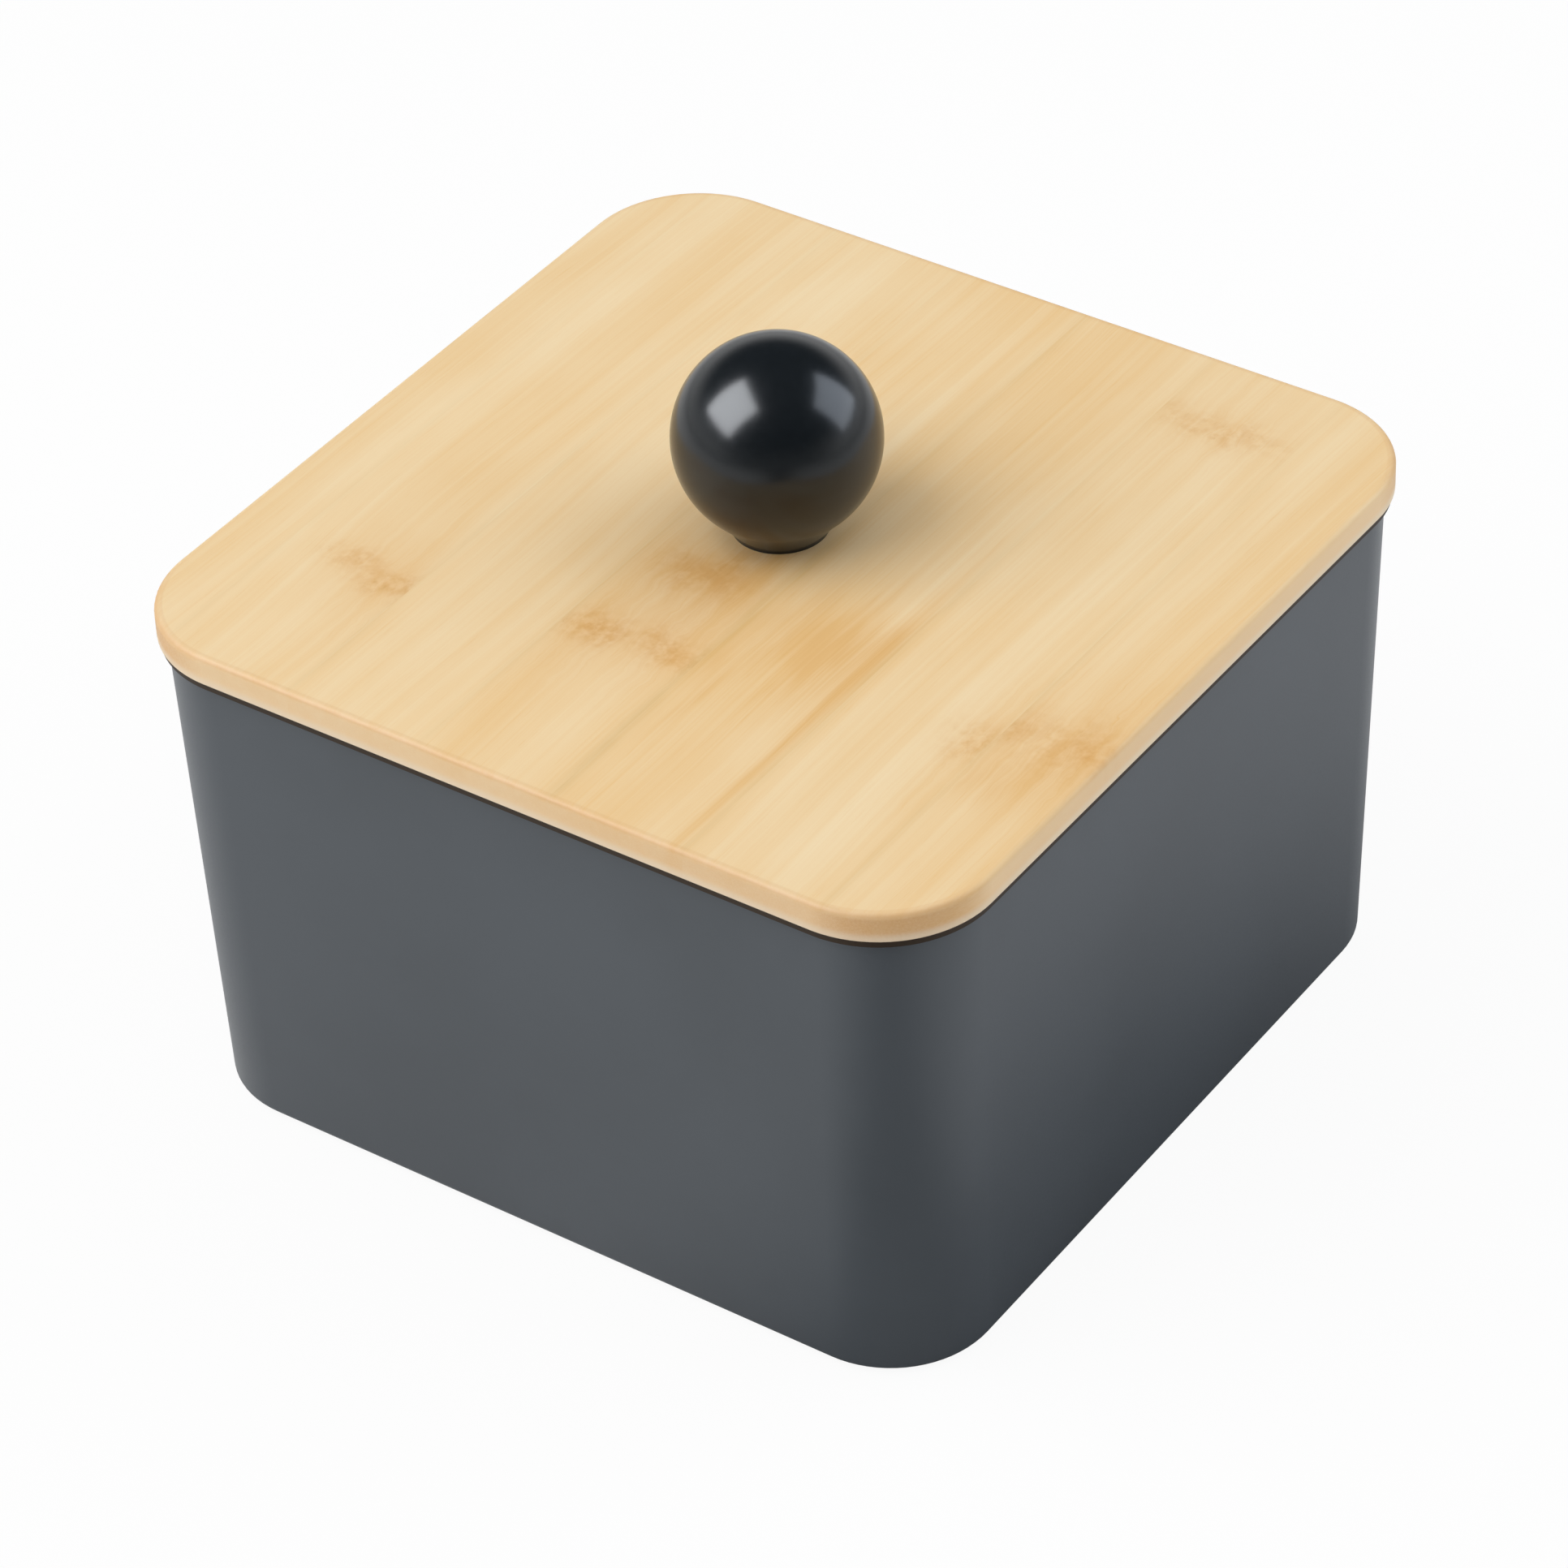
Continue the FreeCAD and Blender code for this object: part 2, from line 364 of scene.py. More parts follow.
class Finish(Enum):
    """The named finishes of the object, apart from the bamboo, which differs by strip."""

    BODY = Skin("matt_moulding", "box_plastic", from_srgb("4a5056"), 0.36, (0.94, 1.06),
                (0.3, 0.7), cloud=25.0, cloud_rough=0.06, grain=1.0 / (0.35 * MM),
                grain_detail=3.0, grain_fine=0.6, grain_rough=0.12, grain_depth=0.006 * MM)
    BALL = Skin("polished_ball", "knob_plastic", from_srgb("13181c"), 0.21, (1.0, 1.4),
                cloud=900.0, cloud_rough=0.05, grain=1.0 / (2.5 * MM), grain_rough=0.0,
                grain_depth=0.006 * MM, specular=0.45)
    PAD = Skin("pad_rubber_skin", "pad_rubber", from_srgb("2a2a2c"), 0.75)
    SEAL = Skin("seal_silicone_skin", "seal_silicone", from_srgb("dcdad4"), 0.5, milk=0.3)
    BRASS = TurnedMetal("turned_brass", "brass", from_srgb("d9b676"), 0.26, from_srgb("a98149"))
    ZINC = TurnedMetal("zinc_plated_steel", "zinc_steel", from_srgb("cfd0d0"), 0.3,
                       from_srgb("a9abb0"))

    def made(self) -> Material:
        """The material of the finish, built once."""
        return bpy.data.materials.get(self.value.name) or self.value.make()


@dataclass(frozen=True)
class Knuckle:
    """A joint of the bamboo cane where it crosses a strip, in millimetres on the lid.

    The reach runs along X and the depth along Y. The slope lets the joint climb with X.
    The sway and the halo count in depths: how far the joint wanders off its place, and
    how far beyond it the fibres still bend.
    """

    x: float
    y: float
    reach: float
    depth: float
    force: float
    slope: float = 0.0
    sway: float = 2.4
    halo: float = 3.5


@dataclass(frozen=True)
class Stain:
    """A warm soft patch that follows the fibres, in millimetres on the lid."""

    x: float
    y: float
    across: float
    along: float
    force: float


@dataclass(frozen=True)
class Layer:
    """A noise of the wood, in steps a millimetre across and along the fibres."""

    across: float
    along: float
    weight: float = 1.0
    detail: float = 2.0
    roughness: float = 0.5

    def at(self, sheet: Sheet, x: Any, y: Wire, z: Any) -> Wire:
        """The noise at a place in millimetres, with a third value in the noise's own steps."""
        parts = {0: x * self.across, 1: y * self.along, 2: z}
        point = sheet.node("ShaderNodeCombineXYZ", inputs=parts)
        return sheet.noise(point, 1.0, self.detail, self.roughness)


@dataclass(frozen=True)
class LidEdge:
    """What the bamboo of the lid's edge is coloured by, painted light and shade among it.

    Lengths are in millimetres. The skin is the reach from the corner circle's middle, and
    the facing the same along one axis, both as shares of the corner's radius.
    """

    half: float
    corner: float
    top: float
    rim: float
    step: float = 1.3
    round_over: float = 1.0
    # Depth below the top and width of the painted shade on the rounding of the top edge.
    bend: float = 0.35
    painted_highlight_band: float = 1.3
    fade: float = 0.3
    crisp: float = 0.02
    skin: tuple[float, float] = (0.92, 0.94)
    facing: tuple[float, float] = (0.8, 1.0)


@dataclass(frozen=True)
class BambooStrip:
    """Lacquered bamboo for one strip of the lid: fibres along Y, knuckles and glue lines.

    The seeds and the way that the strips lie apart in the noises keep them from looking
    alike. A range holds the two levels of a noise between which its marks come out.
    Places and depths are in millimetres.
    """

    name: str
    seed: float
    warmth: float
    edge: LidEdge
    borders: tuple[float, float]
    glue: tuple[float, float]
    knuckles: tuple[Knuckle, ...]
    stains: tuple[Stain, ...]
    pale: Colour = from_srgb("f8dfb4")
    honey: Colour = from_srgb("efc586")
    amber: Colour = from_srgb("d5933c")
    umber: Colour = from_srgb("b5823f")
    caramel: Colour = from_srgb("dca468")
    # Painted light: a paler colour that lightens the sides of the board, as if they were lit as
    # brightly as the top.
    flank: Colour = from_srgb("ffdcae")
    # Painted highlight: a pale colour for a band low on the side of the board, just above the step.
    painted_highlight_cream: Colour = from_srgb("f8e8d0")
    # Painted shade: a dark brown for the step under the board, where the gap between lid and box
    # lies in shade.
    painted_step_shade: Colour = from_srgb("382a1c")
    glue_colour: Colour = from_srgb("d0a75e")
    glue_width: float = 0.5
    glue_depth: float = 1.5
    glue_fade: tuple[float, float] = (-20.0, 40.0)
    apart: float = 31.0
    knuckle_seed: float = 7.3
    blot_seed: float = 5.0
    speckle_seed: float = 3.0
    wander: Layer = Layer(0.02, 0.012, 5.0, detail=1.0)
    patch: Layer = Layer(0.06, 0.03, 0.7)
    broad: Layer = Layer(0.16, 0.004, 1.0)
    bands: Layer = Layer(0.75, 0.007, 0.6)
    fibres: Layer = Layer(3.2, 0.03, 0.45, roughness=0.6)
    dashes: Layer = Layer(4.0, 0.16, 0.16, detail=1.0)
    dash_range: tuple[float, float] = (0.62, 0.8)
    wave: Layer = Layer(0.2, 0.05)
    flow: Layer = Layer(0.4, 0.2, 6.0)
    blot: Layer = Layer(0.55, 0.5, 0.75, roughness=0.6)
    blot_range: tuple[float, float] = (0.3, 0.65)
    speckle: Layer = Layer(1.5, 1.1, 0.5, detail=3.0, roughness=0.65)
    speckle_range: tuple[float, float] = (0.55, 0.75)
    speckle_blot: tuple[float, float] = (0.4, 0.7)
    drift: Layer = Layer(0.3, 0.05, 3.0)
    gaps: Layer = Layer(1.0, 0.06, 0.6)
    gap_range: tuple[float, float] = (0.3, 0.65)
    cloud_tone: float = 0.3
    base_tone: float = 0.3
    roughness: float = 0.5
    relief_depth: float = 0.02 * MM
    relief_strength: float = 0.6
    specular: float = 0.25

    def make(self) -> Material:
        """Builds the material of the strip.

        The tone is a sum of stretched noises: broad bands, fibres and short dashes.
        A knuckle bends the fibres sideways, clouds the wood and speckles it. The edge
        of the lid is coloured by height and by how obliquely it cuts the fibres, and carries
        painted light: paler sides, a painted highlight band low on the side, and painted shade
        on the rounding of the top edge and at the step under the board.

        Returns:
            The material.
        """
        sheet = Sheet.of_finish(self.name)
        x, y, z = (part * PER_MM for part in sheet.split(sheet.place()))
        bend, cloud, marks = self._knuckles(sheet, x, y)
        wander = self.wander.at(sheet, x, y, self.seed).swing(self.wander.weight)
        across = x + bend + wander + self.seed * self.apart
        patch = self.patch.at(sheet, across, y, self.seed)
        broad, bands, fibres, dashes = (
            layer.at(sheet, across, y, z * layer.across)
            for layer in (self.broad, self.bands, self.fibres, self.dashes))
        dashes = dashes.between(*self.dash_range)
        warm = self._stains(sheet, x, y) * (bands * 0.8 + 0.6)
        tone = patch.swing(self.patch.weight) + broad.swing(self.broad.weight)
        tone = tone + bands.swing(self.bands.weight) + fibres.swing(self.fibres.weight)
        tone = tone + dashes * self.dashes.weight + warm + cloud * self.cloud_tone
        colour = sheet.blend((tone + self.warmth + self.base_tone).clamped(), self.pale, self.honey)
        golden = cloud * (bands * 0.5 + 0.35) + warm * (fibres * 0.7 + 0.05)
        colour = sheet.blend(golden.clamped(), colour, self.amber)
        colour = sheet.blend(marks, colour, self.umber)
        on_top = z.between(self.edge.top - self.glue_depth, self.edge.top) * 0.9 + 0.1
        colour = sheet.blend(self._glue(sheet, x, y) * on_top, colour, self.glue_colour)
        colour = self._edge(sheet, (x, y, z), colour, fibres)
        relief = fibres * 0.6 + dashes * -0.5 + marks * -0.4
        return sheet.surface({
            "Base Color": colour,
            "Roughness": self.roughness + fibres.swing(0.16) + dashes * 0.08,
            "Normal": sheet.bump(relief, self.relief_depth, self.relief_strength),
            "Specular IOR Level": self.specular,
        })

    def _knuckles(self, sheet: Sheet, x: Wire, y: Wire) -> tuple[Wire, Wire, Wire]:
        """What the joints of the cane do to the wood.

        Args:
            sheet: The material's nodes.
            x: Way across the strips in millimetres.
            y: Way along them in millimetres.

        Returns:
            Sideways bend of the fibres in millimetres, strength of the warm cloud and
            strength of the small dark marks.
        """
        bend, cloud, marks = x * 0.0, x * 0.0, x * 0.0
        for number, knuckle in enumerate(self.knuckles):
            seed = self.seed + self.knuckle_seed * number
            beyond = x - knuckle.x
            wave = self.wave.at(sheet, x, y, seed).swing(knuckle.depth)
            off = y - knuckle.y - beyond * knuckle.slope - wave * knuckle.sway
            beside = (beyond + wave).bell(knuckle.reach) * knuckle.force
            zone = off.bell(knuckle.depth) * beside
            near = off.bell(knuckle.depth * knuckle.halo) * beside
            flow = self.flow.at(sheet, x, y, seed).swing(self.flow.weight)
            blot = self.blot.at(sheet, x, y, seed + self.blot_seed)
            speckle = self.speckle.at(sheet, x, y, seed + self.speckle_seed)
            speckle = speckle.between(*self.speckle_range)
            bend = bend + flow * near
            warmed = blot.between(*self.blot_range) * self.blot.weight + (1.0 - self.blot.weight)
            cloud = cloud + zone * warmed + near * 0.2
            dark = speckle * blot.between(*self.speckle_blot) * self.speckle.weight
            marks = marks + zone * dark
        return bend, cloud.clamped(), marks.clamped()

    def _stains(self, sheet: Sheet, x: Wire, y: Wire) -> Wire:
        """Warm patches, with edges that wander along the fibres.

        Args:
            sheet: The material's nodes.
            x: Way across the strips in millimetres.
            y: Way along them in millimetres.

        Returns:
            Strength of the patches.
        """
        total = x * 0.0
        for stain in self.stains:
            drift = self.drift.at(sheet, x, y, self.seed).swing(stain.across)
            width = (x - stain.x + drift).bell(stain.across)
            length = (y - stain.y + drift * self.drift.weight).bell(stain.along)
            total = total + width * length * stain.force
        return total

    def _glue(self, sheet: Sheet, x: Wire, y: Wire) -> Wire:
        """Soft line along each glued border, broken up along its length and faint at the back.

        Args:
            sheet: The material's nodes.
            x: Way across the strips in millimetres.
            y: Way along them in millimetres.

        Returns:
            Strength of the lines, from 0 to 1.
        """
        total = x * 0.0
        near = 1.0 - y.between(*self.glue_fade) * 0.6
        for border, strength in zip(self.borders, self.glue):
            gaps = self.gaps.at(sheet, border, y, self.seed).between(*self.gap_range)
            kept = gaps * self.gaps.weight + (1.0 - self.gaps.weight)
            line = (x - border).bell(self.glue_width + 2.0 * strength)
            total = total + line * near * kept * strength
        return total.clamped()

    def _edge(self, sheet: Sheet, place: tuple[Wire, Wire, Wire], colour: Wire,
              fibres: Wire) -> Wire:
        """Colours the side of the board over the colour of the wood, painted light and shade
        included.

        How far out a point lies is its distance past the square that the corner circles'
        middles make. The share of the cut across the fibres is that offset along Y, and
        twice the product of both offsets is largest on the diagonal of a corner.

        Args:
            sheet: The material's nodes.
            place: The point on the lid in millimetres.
            colour: Colour of the wood.
            fibres: The noise of the fibres.

        Returns:
            The colour with the edge's own.
        """
        x, y, z = place
        edge = self.edge
        reach = edge.half - edge.corner
        past_x, past_y = ((abs(way) - reach).at_least(0.0) / edge.corner for way in (x, y))
        outermost = ((past_x * past_x + past_y * past_y) ** 0.5).between(*edge.skin)
        step_top = edge.rim + edge.step
        side = outermost * (1.0 - z.between(edge.top - edge.round_over, edge.top - edge.fade))
        oblique = (past_x * past_y * 2.0).clamped()
        facing_x, facing_y = (past.between(*edge.facing) for past in (past_x, past_y))
        long_side, front = (facing * (1.0 - oblique) for facing in (facing_x, facing_y))
        # Painted shade: the rounding of the top edge is darkened towards caramel where the lamps
        # leave a highlight, except along the long sides.
        bend = outermost * (z - edge.top + edge.bend).bell(edge.bend) * (1.0 - long_side)
        ends = facing_y * (x.between(-10.0, 60.0) * 0.25 + 0.08)
        cut = side * (oblique * 0.75 + ends) * (fibres * 0.6 + 0.55)
        # Painted highlight: the lowest part of the side, just above the step, is made pale.
        low = 1.0 - z.between(step_top + edge.fade, step_top + edge.painted_highlight_band + 0.5)
        # Painted shade: from the top of the real step downwards, the outer edge is dark brown,
        # standing for the shade in the gap.
        under = outermost * (1.0 - z.between(step_top - edge.crisp, step_top + edge.crisp))
        for strength, tint in (
                # Painted light: the long sides, and the front less strongly, are lightened towards
                # the pale side colour.
                (side * (long_side * 0.8 + front * 0.55), self.flank),
                # Painted shade on the rounding of the top edge.
                (bend * 0.5, self.caramel),
                (cut.clamped(), self.caramel),
                # Painted highlight band low on the side of the board.
                (side * low * 0.6, self.painted_highlight_cream),
                # Painted shade at the step under the board.
                (under, self.painted_step_shade)):
            colour = sheet.blend(strength, colour, tint)
        return colour


def wear(piece: Object, material: Material) -> None:
    """Gives a piece one material in place of what it has."""
    piece.data.materials.clear()
    piece.data.materials.append(material)


def linked(name: str, data: ID) -> Object:
    """Makes an object and puts it into the scene.

    Args:
        name: The object's name.
        data: Its mesh, light or camera.

    Returns:
        The object, at the origin.
    """
    made = bpy.data.objects.new(name, data)
    bpy.context.scene.collection.objects.link(made)
    return made


class Lattice:
    """A closed surface on a grid of points: rows run along a profile, columns round the piece.

    A row whose points all coincide is a pole and becomes one vertex.
    """

    POLE_WIDTH = 1e-9

    def __init__(self, points: np.ndarray, ring: bool = False) -> None:
        """Takes the grid.

        Args:
            points: Rows by columns by 3, in metres. The columns close on themselves.
            ring: True closes the rows on themselves too, as on a tyre.
        """
        self.points = points
        self.ring = ring

    def _faces(self) -> tuple[np.ndarray, np.ndarray, np.ndarray]:
        """Works out the faces and turns them outwards.

        The volume's sign, the sum of a times (b cross c) over all triangles, tells whether
        they face outwards.

        Returns:
            Vertices, quads and the triangles at the poles.
        """
        rows, columns, _ = self.points.shape
        index = np.arange(rows * columns).reshape(rows, columns)
        is_pole = np.ptp(self.points, axis=1).max(axis=1) < self.POLE_WIDTH
        index = np.where(is_pole[:, None], index[:, :1], index)
        below = np.roll(index, -1, axis=0) if self.ring else index[1:]
        above = index if self.ring else index[:-1]
        quads = np.stack([above, np.roll(above, -1, 1), np.roll(below, -1, 1), below], -1)
        quads = quads.reshape(-1, 4)
        top_pole = quads[:, 0] == quads[:, 1]
        low_pole = quads[:, 2] == quads[:, 3]
        triangles = np.concatenate([quads[top_pole][:, [0, 2, 3]], quads[low_pole][:, [0, 1, 2]]])
        quads = quads[~(top_pole | low_pole)]
        corners = np.concatenate([quads.ravel(), triangles.ravel()])
        used, renumbered = np.unique(corners, return_inverse=True)
        vertices = self.points.reshape(-1, 3)[used]
        quads, triangles = (part.reshape(-1, side) for part, side in
                            zip(np.split(renumbered, [quads.size]), (4, 3)))
        halves = np.concatenate([quads[:, [0, 1, 2]], quads[:, [0, 2, 3]], triangles])
        a, b, c = (vertices[halves[:, corner]] for corner in range(3))
        if np.einsum("ij,ij->i", a, np.cross(b, c)).sum() < 0:
            quads, triangles = quads[:, ::-1], triangles[:, ::-1]
        return vertices, quads, triangles

    def build(self, name: str, sharp: float = SHARP) -> Object:
        """Makes the object.

        Args:
            name: The piece's name.
            sharp: Angle past which an edge stays sharp.

        Returns:
            The object, at the origin.
        """
        vertices, quads, triangles = self._faces()
        mesh = bpy.data.meshes.new(name)
        mesh.vertices.add(len(vertices))
        mesh.vertices.foreach_set("co", vertices.astype(np.float32).ravel())
        corners = np.concatenate([quads.ravel(), triangles.ravel()]).astype(np.int32)
        mesh.loops.add(corners.size)
        mesh.loops.foreach_set("vertex_index", corners)
        mesh.polygons.add(len(quads) + len(triangles))
        starts = np.append(np.arange(0, quads.size, 4), np.arange(quads.size, corners.size, 3))
        mesh.polygons.foreach_set("loop_start", starts.astype(np.int32))
        mesh.update(calc_edges=True)
        mesh.validate()
        mesh.shade_smooth()
        mesh.set_sharp_from_angle(angle=sharp)
        return linked(name, mesh)


def arc(centre: tuple[float, float], radius: float, start: float, end: float,
        steps: int) -> np.ndarray:
    """Points of a circle's arc: centre plus radius times the cosine and sine of the angle.

    Args:
        centre: Middle of the circle.
        radius: Its radius.
        start: First angle in degrees.
        end: Last angle in degrees.
        steps: Number of chords.

    Returns:
        (steps + 1) by 2 points.
    """
    turn = np.radians(np.linspace(start, end, steps + 1))
    return np.array(centre) + radius * np.column_stack([np.cos(turn), np.sin(turn)])


def spun(profile: np.ndarray, columns: int, wobble: Optional[np.ndarray] = None) -> np.ndarray:
    """A profile of (radius, height) points spun about the Z axis.

    The point of row i and column j is (r cos t, r sin t, z) with t = j / columns of a turn.

    Args:
        profile: Rows by 2, in metres.
        columns: Steps round the axis.
        wobble: Rows by columns, added to the radius.

    Returns:
        Rows by columns by 3 points.
    """
    turn = np.arange(columns) * (FULL_TURN / columns)
    radius = profile[:, :1] + (0.0 if wobble is None else wobble)
    height = np.broadcast_to(profile[:, 1:], (len(profile), columns))
    return np.stack([radius * np.cos(turn), radius * np.sin(turn), height], -1)


def round_square(half: np.ndarray, radius: np.ndarray, height: np.ndarray,
                 bend_steps: int = 18, side_steps: int = 10) -> np.ndarray:
    """A profile carried round a square with round corners.

    Each row is one such square. Its corners are quarter turns about the four points
    (+-(half - radius), +-(half - radius)), and straight sides join them.

    Args:
        half: Half width of each row.
        radius: Corner radius of each row.
        height: Height of each row.
        bend_steps: Chords of a corner.
        side_steps: Parts of a straight side.

    Returns:
        Rows by columns by 3 points.
    """
    quarter = np.radians(90 * np.arange(4))[:, None]
    turns = quarter + np.radians(np.linspace(0, 90, bend_steps + 1))
    diagonal = quarter + math.radians(45)
    radius = radius[:, None, None]
    reach = (half[:, None, None] - radius) * math.sqrt(2)
    bends = np.stack([reach * np.cos(diagonal) + radius * np.cos(turns),
                      reach * np.sin(diagonal) + radius * np.sin(turns)], -1)
    share = np.linspace(0, 1, side_steps + 1)[1:-1, None]
    sides = bends[:, :, -1:] * (1 - share) + np.roll(bends, -1, 1)[:, :, :1] * share
    plan = np.concatenate([bends, sides], 2).reshape(len(half), -1, 2)
    level = np.broadcast_to(height[:, None, None], (*plan.shape[:2], 1))
    return np.concatenate([plan, level], -1)


def corner_cut(outline: np.ndarray, rounds: int = 3) -> np.ndarray:
    """Softens a closed outline by cutting every corner at a quarter of its two sides.

    Args:
        outline: Points by 2.
        rounds: How many times it is done.

    Returns:
        The softened outline, with twice the points for each round.
    """
    for _ in range(rounds):
        following = np.roll(outline, -1, axis=0)
        near, far = (outline * (1 - share) + following * share for share in (0.25, 0.75))
        outline = np.stack([near, far], 1).reshape(-1, 2)
    return outline


def weld(mesh: Mesh, gap: float = 0.001 * MM) -> None:
    """Merges points that nearly meet, as a cut can leave them.

    Args:
        mesh: The mesh to mend.
        gap: How far apart two such points may lie.
    """
    surface = bmesh.new()
    surface.from_mesh(mesh)
    bmesh.ops.remove_doubles(surface, verts=surface.verts, dist=gap)
    surface.to_mesh(mesh)
    surface.free()


def carve(piece: Object, tools: Sequence[Object]) -> None:
    """Cuts the tools out of a piece and deletes them.

    Args:
        piece: The piece, whose mesh is replaced by the result.
        tools: Closed solids.
    """
    for tool in tools:
        cut = piece.modifiers.new("cut", "BOOLEAN")
        cut.object = tool
        cut.solver = "EXACT"
    graph = bpy.context.evaluated_depsgraph_get()
    result = bpy.data.meshes.new_from_object(piece.evaluated_get(graph))
    weld(result)
    result.set_sharp_from_angle(angle=SHARP)
    piece.modifiers.clear()
    old, piece.data = piece.data, result
    result.name = piece.name
    bpy.data.meshes.remove(old)
    for tool in tools:
        bpy.data.meshes.remove(tool.data)


def settle(piece: Object, body: str, finish: Finish, node: str) -> None:
    """Dresses a new piece and lets it stand for a CAD node.

    Args:
        piece: The piece.
        body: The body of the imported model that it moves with.
        finish: What it is made of.
        node: The CAD node that it replaces.
    """
    wear(piece, finish.made())
    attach(piece, body)
    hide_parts(node)
    log.info("%s: %d faces", piece.name, len(piece.data.polygons))


def disc(name: str, radius: float, high: float, place: Any = 0.0) -> Object:
    """An upright plain cylinder that stands on the table, used as a cutting tool.

    Args:
        name: The tool's name.
        radius: Its radius.
        high: Height of its top.
        place: Where its axis stands, if not at the origin.

    Returns:
        The tool.
    """
    profile = np.array([[0.0, high], [radius, high], [radius, 0.0], [0.0, 0.0]])
    return Lattice(spun(profile, ROUND_STEPS) + place).build(name)


def round_place(node: str) -> tuple[np.ndarray, float]:
    """Where a round upright CAD node stands.

    Args:
        node: Its name.

    Returns:
        The foot of its axis on the table, and its radius.
    """
    low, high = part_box(node)
    middle = (low + high) / 2
    return np.array([middle.x, middle.y, 0.0]), (high.x - low.x) / 2


@dataclass
class BoxShell:
    """The moulded box with its pads.

    The ripples are the waves of a pad's sole from its middle to its rim. The plain share
    of the sole's radius stays flat.
    """

    node: str = "box_body"
    pads: tuple[str, ...] = ("foot_pad_1", "foot_pad_2", "foot_pad_3", "foot_pad_4")
    draft: float = 1.8 * MM
    wall: float = 2.5 * MM
    floor_plate: float = 2.5 * MM
    floor_fillet: float = 4.0 * MM
    corner: float = 17.0 * MM
    edge: float = 1.2 * MM
    rim: float = 0.7 * MM
    recess: float = 1.0 * MM
    ring: float = 5.0 * MM
    recess_edge: float = 0.5 * MM
    socket: float = 0.5 * MM
    socket_air: float = 0.15 * MM
    gate_radius: float = 4.0 * MM
    gate_depth: float = 0.4 * MM
    pad_edge: float = 0.6 * MM
    pad_groove: float = 0.25 * MM
    pad_ripples: float = 3.5
    pad_plain: float = 0.2
    edge_steps: int = 6
    fillet_steps: int = 10
    sole_steps: int = 60

    def dress(self) -> None:
        """Builds the shell and the pads."""
        self.shell()
        for node in self.pads:
            self.pad(node)

    def _profile(self) -> np.ndarray:
        """The section from the middle of the base out, over the rim and back to the middle.

        The walls lean out by the draft. Round edges are quarter arcs between level and
        upright stretches, and each takes as much off the corner radius as off the half width.

        Returns:
            Rows by 3: half width, corner radius and height.
        """
        low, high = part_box(self.node)
        base, top = low.z, high.z
        foot, rim = high.x - self.draft, high.x
        ceiling = base + self.recess
        floor = ceiling + self.floor_plate
        ring = foot - self.ring
        inner_foot = foot - self.wall + self.draft * (floor - base) / (top - base)
        fillet, steps = self.floor_fillet, self.edge_steps
        half, height = np.concatenate([
            [[0.0, ceiling], [ring - self.recess_edge, ceiling],
             [ring, ceiling - self.recess_edge], [ring, base]],
            arc((foot - self.edge, base + self.edge), self.edge, -90, 0, steps),
            arc((rim - self.rim, top - self.rim), self.rim, 0, 90, steps),
            arc((rim - self.wall + self.rim, top - self.rim), self.rim, 90, 180, steps),
            arc((inner_foot - fillet, floor + fillet), fillet, 0, -90, self.fillet_steps),
            [[0.0, floor]],
        ]).T
        outer = foot + self.draft * (height - base) / (top - base)
        radius = np.maximum(self.corner - (outer - half), 0.0)
        return np.column_stack([half, np.minimum(radius, half), height])

    def shell(self) -> None:
        """The box itself, with the sockets of the pads and the mark of the gate."""
        half, radius, height = self._profile().T
        shell = Lattice(round_square(half, radius, height)).build("moulded_shell")
        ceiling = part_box(self.node)[0].z + self.recess
        tools = [disc("gate_tool", self.gate_radius, ceiling + self.gate_depth)]
        for node in self.pads:
            place, size = round_place(node)
            tools.append(disc("socket_tool", size + self.socket_air, ceiling + self.socket, place))
        carve(shell, tools)
        settle(shell, "box", Finish.BODY, self.node)

    def pad(self, node: str) -> None:
        """A round pad with a soft lower edge and three shallow grooves in its sole.

        The depth of the grooves is the root of the sine of the way off the middle, where
        that is above 0.

        Args:
            node: The pad's CAD node.
        """
        low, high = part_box(node)
        place, radius = round_place(node)
        edge = self.pad_edge
        across = np.linspace(radius - edge, 0.0, self.sole_steps + 1)[1:]
        ripple = np.clip(np.sin(across / radius * self.pad_ripples * FULL_TURN), 0.0, 1.0) ** 0.5
        depth = self.pad_groove * ripple * (across > self.pad_plain * radius)
        profile = np.concatenate([
            [[0.0, high.z], [radius, high.z]],
            arc((radius - edge, low.z + edge), edge, 0, -90, self.edge_steps),
            np.column_stack([across, low.z + depth]),
        ])
        points = spun(profile, ROUND_STEPS) + place
        settle(Lattice(points).build(f"{node}_moulded"), "box", Finish.PAD, node)


